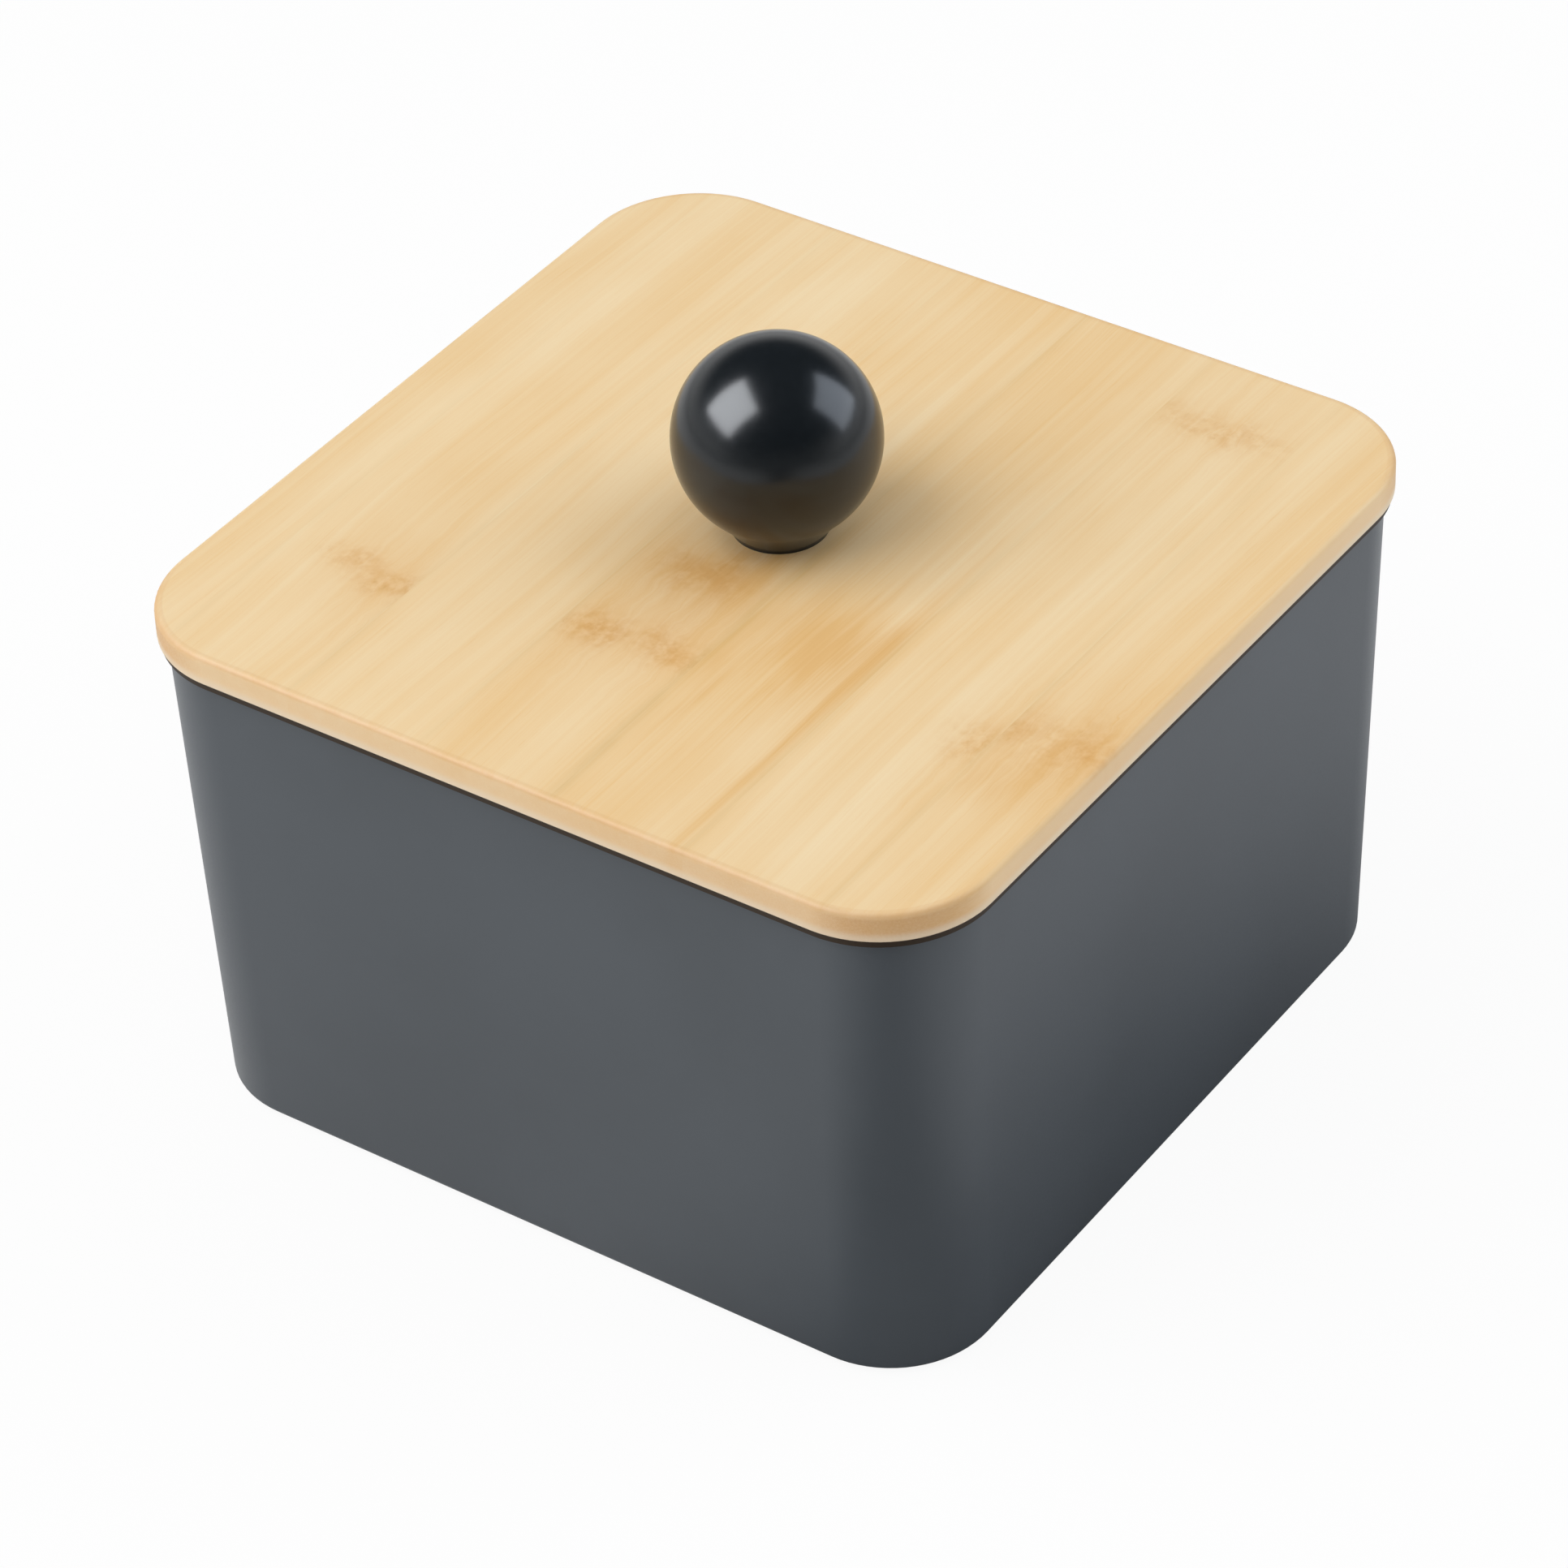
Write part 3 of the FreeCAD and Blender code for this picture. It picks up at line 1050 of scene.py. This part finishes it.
@dataclass
class BambooLid:
    """The seven glued strips and the seal."""

    strips: int = 7
    seal: str = "lid_seal"
    seal_reach: float = 0.72 * MM
    seal_bar: float = 1.95 * MM
    seal_corner: float = 14.2 * MM
    lip_root: float = 0.8 * MM
    lip_tip: float = 0.4 * MM
    lip_rise: float = 0.4 * MM
    corner: float = 18.5 * MM
    seed_step: float = 3.7
    warmth: tuple[float, ...] = (0.0, -0.02, 0.02, 0.06, 0.16, 0.0, 0.08)
    glue: tuple[float, ...] = (0.0, 0.1, 0.14, 0.14, 0.36, 0.2, 0.16, 0.0)
    knuckles: dict = field(default_factory=lambda: {
        2: (Knuckle(-49.5, -40.5, 5.5, 3.0, 0.5), Knuckle(-41.0, -43.0, 4.8, 3.4, 0.8)),
        4: (Knuckle(-9.0, -34.8, 5.4, 4.2, 0.8), Knuckle(3.8, -34.8, 5.6, 3.4, 0.7),
            Knuckle(-2.6, -16.0, 7.5, 5.5, 0.5)),
        6: (Knuckle(43.0, 55.5, 12.5, 3.4, 0.45), Knuckle(53.5, -28.5, 4.5, 4.2, 0.5)),
        7: (Knuckle(64.5, -23.0, 10.0, 5.5, 0.36, 0.1), Knuckle(57.0, -23.5, 2.6, 4.2, 0.38),
            Knuckle(69.0, -22.0, 4.2, 4.2, 0.42)),
    })
    stains: dict = field(default_factory=lambda: {
        4: (Stain(2.0, -22.0, 7.0, 14.0, 0.26), Stain(4.0, -13.0, 6.0, 9.0, 0.2),
            Stain(-3.0, -15.0, 8.0, 6.0, 0.2)),
        5: (Stain(22.0, -21.0, 15.0, 16.0, 0.32), Stain(24.0, -24.0, 5.0, 10.0, 0.14),
            Stain(30.8, -38.0, 1.2, 38.0, 0.34)),
        7: (Stain(62.0, -34.0, 8.0, 9.0, 0.25),),
    })

    def dress(self) -> None:
        """Gives each strip bamboo of its own tone, and the seal its silicone."""
        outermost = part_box(f"lid_strip_{self.strips}")[1]
        edge = LidEdge(
            half=outermost.x * PER_MM,
            corner=self.corner * PER_MM,
            top=outermost.z * PER_MM,
            rim=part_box("box_body")[1].z * PER_MM,
        )
        for number in range(1, self.strips + 1):
            node = f"lid_strip_{number}"
            low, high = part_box(node)
            strip = BambooStrip(
                name=f"bamboo_{number}",
                seed=self.seed_step * number,
                warmth=self.warmth[number - 1],
                edge=edge,
                borders=(low.x * PER_MM, high.x * PER_MM),
                glue=self.glue[number - 1:number + 1],
                knuckles=self.knuckles.get(number, ()),
                stains=self.stains.get(number, ()),
            )
            wear(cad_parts[node], strip.make())
        self.seal_ring()

    def seal_ring(self) -> None:
        """The silicone ring: a bar in the groove and two soft lips that tilt upwards."""
        low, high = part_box(self.seal)
        bottom, top = low.z, high.z
        front, back = -self.seal_reach, -self.seal_reach - self.seal_bar
        outline = [[back, bottom]]
        for foot in (bottom, top - self.lip_root):
            tip = foot + self.lip_rise
            outline += [[front, foot], [0.0, tip], [0.0, tip + self.lip_tip],
                        [front, foot + self.lip_root]]
        outline.append([back, top])
        offset, height = corner_cut(np.array(outline)).T
        offset, height = offset - offset.max(), np.clip(height, bottom, top)
        points = round_square(high.x + offset, self.seal_corner + offset, height)
        settle(Lattice(points, ring=True).build("silicone_seal"), "lid", Finish.SEAL, self.seal)


@dataclass
class BallKnob:
    """The ball, with the rooms in its foot for the bush and the end of the screw.

    A room is given by its radius and how far it reaches above the foot.
    """

    flank_angle: float = 45.0
    foot_radius: float = 7.5 * MM
    foot_land: float = 0.4 * MM
    air: float = 0.2 * MM
    rooms: tuple[tuple[float, float], ...] = (
        (4.55 * MM, 1.05 * MM), (3.55 * MM, 10.05 * MM), (2.25 * MM, 11.4 * MM))
    columns: int = 160
    ball_steps: int = 90
    flank_steps: int = 14

    def dress(self) -> None:
        """Builds the ball, the flank that leads it into its foot and the room for the bush.

        The flank is a curve with three control points a, b and c: the point at share t is
        (1 - t) squared times a, plus 2 t (1 - t) times b, plus t squared times c. It leaves
        the ball along its tangent at the flank angle, counted from straight down.
        """
        low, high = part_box("ball_knob")
        base = low.z
        radius = (high.z - base - self.air) / 2
        centre = high.z - radius
        turn = math.radians(self.flank_angle)
        leave = np.array([radius * math.sin(turn), centre - radius * math.cos(turn)])
        land = np.array([self.foot_radius, base + self.foot_land])
        tangent = np.array([math.cos(turn), math.sin(turn)])
        bend = leave - tangent * (np.linalg.norm(land - leave) / 2)
        share = np.linspace(0, 1, self.flank_steps + 1)[1:, None]
        flank = (1 - share) ** 2 * leave + 2 * share * (1 - share) * bend + share**2 * land
        inside = [[self.foot_radius, base]]
        for wide, top in self.rooms:
            inside += [[wide, inside[-1][1]], [wide, base + top]]
        inside.append([0.0, inside[-1][1]])
        sphere = arc((0.0, centre), radius, 90, self.flank_angle - 90, self.ball_steps)
        profile = np.concatenate([sphere, flank, inside])
        profile[0, 0] = 0.0
        settle(Lattice(spun(profile, self.columns)).build("knob_ball"), "lid", Finish.BALL,
               "ball_knob")


@dataclass
class Hardware:
    """The bush, the screw and the washer that hold the ball on the lid.

    The waist runs between two heights above the bush's base. The cross recess is given at
    the head's face and at its end.
    """

    barrel: float = 3.5 * MM
    flange: float = 1.0 * MM
    waist: tuple[float, float] = (3.5 * MM, 6.5 * MM)
    waist_depth: float = 0.5 * MM
    bore: float = 2.05 * MM
    lead: float = 0.35 * MM
    teeth: int = 30
    tooth_depth: float = 0.2 * MM
    shank: float = 2.0 * MM
    pitch: float = 0.7 * MM
    thread_depth: float = 0.4 * MM
    neck: float = 1.2 * MM
    end_chamfer: float = 0.5 * MM
    head: float = 3.1 * MM
    crown: float = 1.7 * MM
    head_edge: float = 0.15 * MM
    cross_reach: tuple[float, float] = (2.2 * MM, 1.3 * MM)
    cross_width: tuple[float, float] = (0.5 * MM, 0.35 * MM)
    cross_depth: float = 1.8 * MM
    washer_bore: float = 2.15 * MM
    washer_edge: float = 0.12 * MM
    tooth_steps: int = 6
    pitch_steps: int = 8
    head_steps: int = 16
    washer_steps: int = 96
    crest: float = 0.125
    thread_flank: float = 0.625
    recess_slack: float = 0.1 * MM

    def dress(self) -> None:
        """Builds the three pieces."""
        self.bush()
        self.screw()
        self.washer()

    def bush(self) -> None:
        """The bush: a flange, two knurled bands and a waist that keeps it in the ball.

        The knurl takes half the tooth depth times 1 plus the cosine of the teeth's angle off
        the barrel's radius.
        """
        low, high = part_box("knob_bush")
        base, top, wide = low.z, high.z, high.x
        bore, barrel, lead = self.bore, self.barrel, self.lead
        waist = barrel - self.waist_depth
        waist_low, waist_high = (base + height for height in self.waist)
        profile = np.array([
            [bore + lead, base], [wide, base], [wide, base + self.flange],
            [barrel, base + self.flange], [barrel, waist_low], [waist, waist_low],
            [waist, waist_high], [barrel, waist_high], [barrel, top - lead],
            [barrel - lead, top], [bore + lead, top], [bore, top - lead], [bore, base + lead],
        ])
        columns = self.teeth * self.tooth_steps
        teeth = np.cos(np.arange(columns) * (FULL_TURN / columns) * self.teeth)
        on_barrel = np.isclose(profile[:, :1], barrel)
        knurl = on_barrel * (-0.5 * self.tooth_depth) * (1.0 + teeth)
        bush = Lattice(spun(profile, columns, knurl), ring=True).build("knurled_bush", SHARP_METAL)
        settle(bush, "lid", Finish.BRASS, "knob_bush")

    def screw(self) -> None:
        """The pan head screw with its thread and cross recess.

        The thread is a helix: with f the fraction of (height / pitch - turn), the groove is
        as deep as a trapezoid of twice the distance from f to a half, 0 up to the crest's
        share and full a flank's share on. It grows over the first pitch, and the cone of
        the end cuts it off.
        """
        low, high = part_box("knob_screw")
        end, seat = high.z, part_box("knob_washer")[0].z
        bottom, wide = seat - self.head, high.x
        cap = (wide**2 + self.crown**2) / (2 * self.crown)
        spread = math.degrees(math.asin(wide / cap))
        start = seat + self.neck
        rise = np.linspace(start, end, int((end - start) / self.pitch * self.pitch_steps) + 1)
        level = rise[:, None]
        part = np.mod(level / self.pitch - np.arange(ROUND_STEPS) / ROUND_STEPS, 1.0)
        groove = np.clip((np.abs(2.0 * part - 1.0) - self.crest) / self.thread_flank, 0.0, 1.0)
        grown = np.clip((level - start) / self.pitch, 0.0, 1.0)
        cone = np.maximum(level - (end - self.end_chamfer), 0.0)
        thread = -np.maximum(self.thread_depth * groove * grown, cone)
        head = np.concatenate([
            arc((0.0, bottom + cap), cap, -90, spread - 90, self.head_steps),
            [[wide, seat - self.head_edge], [wide - self.head_edge, seat], [self.shank, seat]],
        ])
        head[0, 0] = 0.0
        shank = np.column_stack([np.full(len(rise), self.shank), rise])
        profile = np.concatenate([head, shank, [[0.0, end]]])
        wobble = np.zeros((len(profile), ROUND_STEPS))
        wobble[len(head):-1] = thread
        screw = Lattice(spun(profile, ROUND_STEPS, wobble)).build("threaded_screw")
        carve(screw, [self._prong(bottom, turned) for turned in (False, True)])
        settle(screw, "lid", Finish.ZINC, "knob_screw")

    def _prong(self, bottom: float, turned: bool) -> Object:
        """One tapering bar of the cross recess, as a cutting tool.

        Args:
            bottom: Height of the head's face.
            turned: True lays the bar along Y.

        Returns:
            The tool.
        """
        corners = np.array([[1, 1], [-1, 1], [-1, -1], [1, -1]], float)
        face, end = bottom - self.recess_slack, bottom + self.cross_depth
        rows = [np.zeros((4, 3)) + [0.0, 0.0, face]]
        for reach, width, height in zip(self.cross_reach, self.cross_width, (face, end)):
            size = (width, reach) if turned else (reach, width)
            rows.append(np.column_stack([corners * size, np.full(4, height)]))
        rows.append(np.zeros((4, 3)) + [0.0, 0.0, end])
        return Lattice(np.array(rows)).build("prong_tool")

    def washer(self) -> None:
        """The washer, stamped with soft edges."""
        low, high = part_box("knob_washer")
        edge = self.washer_edge
        profile = np.array([
            [self.washer_bore, low.z], [high.x - edge, low.z], [high.x, low.z + edge],
            [high.x, high.z - edge], [high.x - edge, high.z], [self.washer_bore, high.z],
        ])
        points = spun(profile, self.washer_steps)
        washer = Lattice(points, ring=True).build("stamped_washer", SHARP_METAL)
        settle(washer, "lid", Finish.ZINC, "knob_washer")


@dataclass(frozen=True)
class Lamp:
    """A square soft lamp that looks at the middle of the box.

    A light lamp carries its level, the share of full light that it gives to a surface which
    faces it at the box. A glint lamp shows only in reflections and carries its brightness.
    """

    name: str
    direction: tuple[float, float, float]
    distance: float
    size: float
    level: float
    tint: Colour
    diffuse: bool = True
    glossy: bool = True
    aim: tuple[float, float, float] = (0.0, 0.0, 0.06)

    def power(self) -> float:
        """How strong the lamp is.

        A level needs pi squared times the distance squared, a brightness pi times the area.

        Returns:
            Watts.
        """
        if self.diffuse:
            return self.level * math.pi**2 * self.distance**2
        return self.level * math.pi * self.size**2

    def hang(self) -> None:
        """Makes the lamp."""
        data = bpy.data.lights.new(self.name, "AREA")
        data.shape = "SQUARE"
        data.size = self.size
        data.energy = self.power()
        data.color = self.tint
        lamp = linked(self.name, data)
        toward = Vector(self.direction).normalized()
        turn = toward.to_track_quat("Z", "Y").to_matrix().to_4x4()
        lamp.matrix_world = Matrix.Translation(Vector(self.aim) + toward * self.distance) @ turn
        lamp.visible_camera = False
        lamp.visible_diffuse = self.diffuse
        lamp.visible_glossy = self.glossy


TO_KEY = (-0.488, -0.501, 0.715)
TO_SIDE = (0.604, 0.563, 0.563)


@dataclass
class Studio:
    """Floor, backdrop, lamps and camera."""

    azimuth: float = 35.905
    elevation: float = 38.066
    roll: float = -2.598
    distance: float = 0.99605
    aim_right: float = 0.00276
    aim_up: float = -0.03219
    lens: float = 143.405
    sensor: float = 36.0
    foot_height: float = 0.6 * MM
    floor_half: float = 4.0
    lamps: tuple[Lamp, ...] = (
        Lamp("key_light", TO_KEY, 1.1, 1.1, 0.6, WHITE, glossy=False),
        Lamp("key_glint", TO_KEY, 1.2, 0.93, 10.5, (0.93, 0.96, 1.0), diffuse=False),
        Lamp("side_light", TO_SIDE, 0.8, 0.7, 0.34, (0.89, 0.94, 1.0), glossy=False),
        Lamp("side_glint", TO_SIDE, 0.65, 0.46, 3.9, (0.8, 0.88, 1.0), diffuse=False),
    )
    sky_low: float = 0.08
    sky_high: float = 0.9
    floor_white: float = 0.9
    sky_fade: tuple[float, float] = (0.05, 0.45)
    sky_drop: float = 0.95
    dark_side: tuple[float, float] = (0.586, -0.810)
    dark_range: tuple[float, float] = (0.2, 0.9)
    dark_share: float = 0.76
    wedge_start: tuple[float, float] = (0.04, 0.12)
    wedge_aim: float = 0.015
    wedge_spread: float = 0.3
    wedge_tip: float = 0.01
    wall_foot: float = 71.0 * MM
    wall_shade: tuple[float, float] = (0.04, 0.085)
    camera_glow: float = 0.93
    mirror_glow: float = 0.1

    def set_up(self) -> None:
        """Builds everything around the object."""
        bpy.context.scene.view_settings.view_transform = "Standard"
        self._world()
        self._floor()
        for lamp in self.lamps:
            lamp.hang()
        self._camera()

    def _axes(self) -> tuple[Vector, Vector, Vector]:
        """Turns the camera's three angles into its axes.

        Returns:
            The directions to the right, up and back from the picture.
        """
        a, e, r = (math.radians(angle) for angle in (self.azimuth, self.elevation, self.roll))
        back = Vector((math.sin(a) * math.cos(e), -math.cos(a) * math.cos(e), math.sin(e)))
        level = Vector((math.cos(a), math.sin(a), 0.0))
        upright = back.cross(level)
        right = level * math.cos(r) + upright * math.sin(r)
        up = upright * math.cos(r) - level * math.sin(r)
        return right, up, back

    def _camera(self) -> None:
        """The camera of the photograph."""
        right, up, back = self._axes()
        data = bpy.data.cameras.new("camera")
        data.sensor_width = self.sensor
        data.lens = self.lens
        camera = linked("camera", data)
        place = back * self.distance - right * self.aim_right - up * self.aim_up
        place.z += self.foot_height
        turn = Matrix((right, up, back)).transposed().to_4x4()
        camera.matrix_world = Matrix.Translation(place) @ turn
        bpy.context.scene.camera = camera

    def _world(self) -> None:
        """White to the camera, a pale sky to surfaces and a bright horizon to reflections.

        The reflected horizon is dimmer towards the camera, as in a studio with a dark end.
        """
        world = bpy.data.worlds.new("studio")
        bpy.context.scene.world = world
        sheet = Sheet(world)
        x, y, z = sheet.split(sheet.node("ShaderNodeTexCoord", output="Generated"))
        path = sheet.node("ShaderNodeLightPath")
        seen = (path + path.other("Is Transmission Ray")).clamped()
        mirrored = path.other("Is Glossy Ray")
        toward = x * self.dark_side[0] + y * self.dark_side[1]
        dark = toward.between(*self.dark_range) * self.dark_share
        horizon = (1.0 - z.between(*self.sky_fade) * self.sky_drop) * (1.0 - dark)
        sky = z.clamped() * (self.sky_high - self.sky_low) + self.sky_low
        level = mirrored * horizon + (1.0 - mirrored) * sky
        level = seen + (1.0 - seen) * level
        light = sheet.node("ShaderNodeBackground", inputs={"Strength": level})
        sheet.node("ShaderNodeOutputWorld", inputs={"Surface": light})

    def _floor(self) -> None:
        """A pale floor that keeps the soft shadow of the box.

        To reflections it carries painted shade: it is dimmer in a wedge that opens from the front
        corner towards the camera and along the foot of the right wall. With s the way towards
        the camera and t the way across it, the wedge is where t is small next to s. The painted
        shade along the wall is a bell of the way off the wall times a bell of the way along it.
        """
        half = self.floor_half
        corners = [(-half, -half, 0), (half, -half, 0), (half, half, 0), (-half, half, 0)]
        data = bpy.data.meshes.new("floor")
        data.from_pydata(corners, [], [(0, 1, 2, 3)])
        floor = linked("floor", data)
        sheet = Sheet.of_finish("pale_floor")
        x, y, _ = sheet.split(sheet.place())
        forward = x * self.dark_side[0] + y * self.dark_side[1]
        across = y * self.dark_side[0] - x * self.dark_side[1]
        away, along = self.wall_shade
        width = forward.at_least(0.0) * self.wedge_spread + self.wedge_tip
        wedge = forward.between(*self.wedge_start) * (across - self.wedge_aim).bell(width)
        wedge = (wedge + (x - self.wall_foot).bell(away) * y.bell(along)).clamped()
        path = sheet.node("ShaderNodeLightPath")
        mirrored = path.other("Is Glossy Ray")
        # Painted shade, seen only in reflections: the floor is darker in the wedge and along the
        # right wall.
        level = (1.0 - mirrored * wedge * self.dark_share) * self.floor_white
        grey = sheet.blend(level, BLACK, WHITE)
        lit = sheet.node("ShaderNodeBsdfDiffuse", inputs={"Color": grey})
        white = sheet.node("ShaderNodeEmission", inputs={"Color": WHITE})
        share = path * self.camera_glow + mirrored * (1.0 - wedge) * self.mirror_glow
        shown = sheet.node("ShaderNodeMixShader", inputs={0: share.clamped(), 1: lit, 2: white})
        sheet.node("ShaderNodeOutputMaterial", inputs={"Surface": shown})
        data.materials.append(sheet.owner)


def main() -> None:
    """Builds and dresses the object, then the studio."""
    logging.basicConfig(level=logging.INFO)
    for part in (BoxShell(), BambooLid(), BallKnob(), Hardware()):
        part.dress()
        log.info("dressed %s", type(part).__name__)
    Studio().set_up()


if __name__ == "__main__":
    main()
